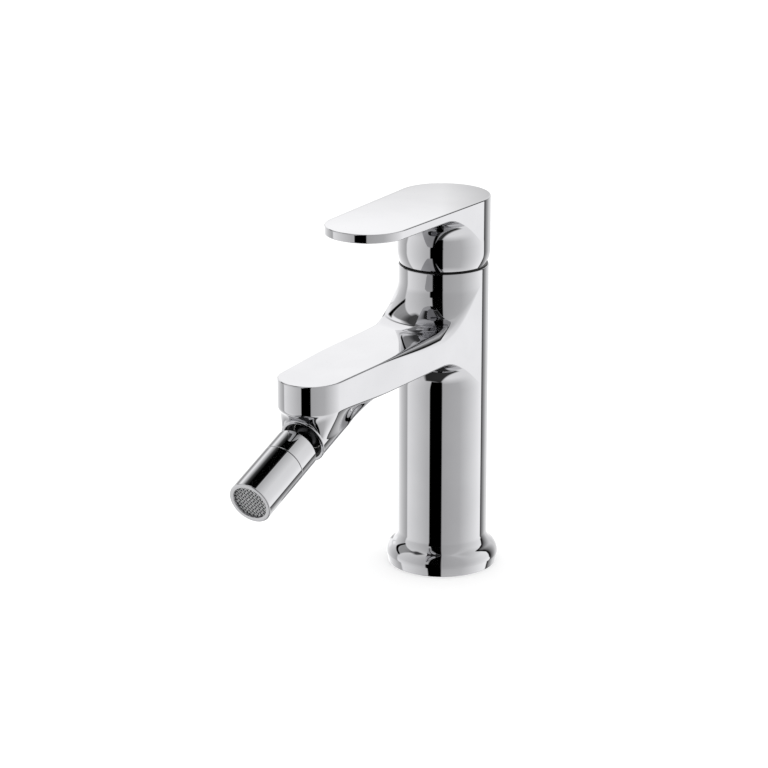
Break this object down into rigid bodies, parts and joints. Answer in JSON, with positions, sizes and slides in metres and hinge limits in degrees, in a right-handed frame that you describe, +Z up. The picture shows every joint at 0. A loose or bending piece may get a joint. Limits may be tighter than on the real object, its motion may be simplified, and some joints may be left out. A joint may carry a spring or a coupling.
{
  "type": "bidet mixer",
  "caption": "Single-lever bidet mixer: chromed column on a flared foot, flat spout with a nozzle that tips and turns on a ball, and a flat lever over a ceramic disc cartridge.",
  "frame": {"origin": "middle of the foot, on the deck", "axes": "+Z up along the column, the spout and the lever point along -Y, X to the side"},
  "size_m": [0.0564, 0.2061, 0.1928],
  "materials": {
    "chrome": "polished chrome plate",
    "brass": "turned",
    "steel": "fine turned",
    "rubber": "matte",
    "dark_plastic": "moulded",
    "white_plastic": "moulded",
    "ceramic": "lapped"
  },
  "bodies": {
    "base": {"body_casting": "chrome", "base_gasket": "rubber", "cartridge_base": "dark_plastic", "base_seals": "rubber", "fixed_disc": "ceramic", "cartridge_housing": "white_plastic", "cartridge_nut": "brass", "limit_ring": "dark_plastic", "dome_ring": "chrome", "rear_ball_seat": "rubber", "ball_retainer": "dark_plastic"},
    "swivel": {"swivel_carrier": "white_plastic", "pivot_pin": "steel"},
    "lever": {"handle": "chrome", "spindle": "steel", "grub_screw": "steel", "index_plug": "chrome"},
    "disc": {"disc_carrier": "dark_plastic", "moving_disc": "ceramic"},
    "ball_seat": {"front_ball_seat": "white_plastic"},
    "nozzle": {"swivel_ball": "chrome", "nozzle_collar": "chrome", "collar_seal": "rubber", "aerator_housing": "chrome", "aerator_washer": "rubber", "aerator_insert": "white_plastic", "aerator_mesh": "steel"}
  },
  "joints": [
    {"name": "lever_swing", "type": "hinge", "parent": "base", "child": "swivel", "pos_m": [0, 0, 0.157], "axis": [0, 0, 1], "range_deg": [-45, 45]},
    {"name": "lever_lift", "type": "hinge", "parent": "swivel", "child": "lever", "pos_m": [0, 0, 0.157], "axis": [-1, 0, 0], "range_deg": [0, 20]},
    {"name": "disc_slide", "type": "slide", "parent": "swivel", "child": "disc", "axis": [0, -1, 0], "range_m": [0, 0.0038]},
    {"name": "nozzle_turn", "type": "hinge", "parent": "base", "child": "ball_seat", "pos_m": [0, -0.12202, 0.1036], "axis": [0, -0.9354, -0.3535], "continuous": true},
    {"name": "nozzle_tip", "type": "hinge", "parent": "ball_seat", "child": "nozzle", "pos_m": [0, -0.12202, 0.1036], "axis": [1, 0, 0], "range_deg": [-15, 15]}
  ],
  "couplings": [
    {"joint": "disc_slide", "follows": "lever_lift", "m_per_rad": 0.010778}
  ]
}
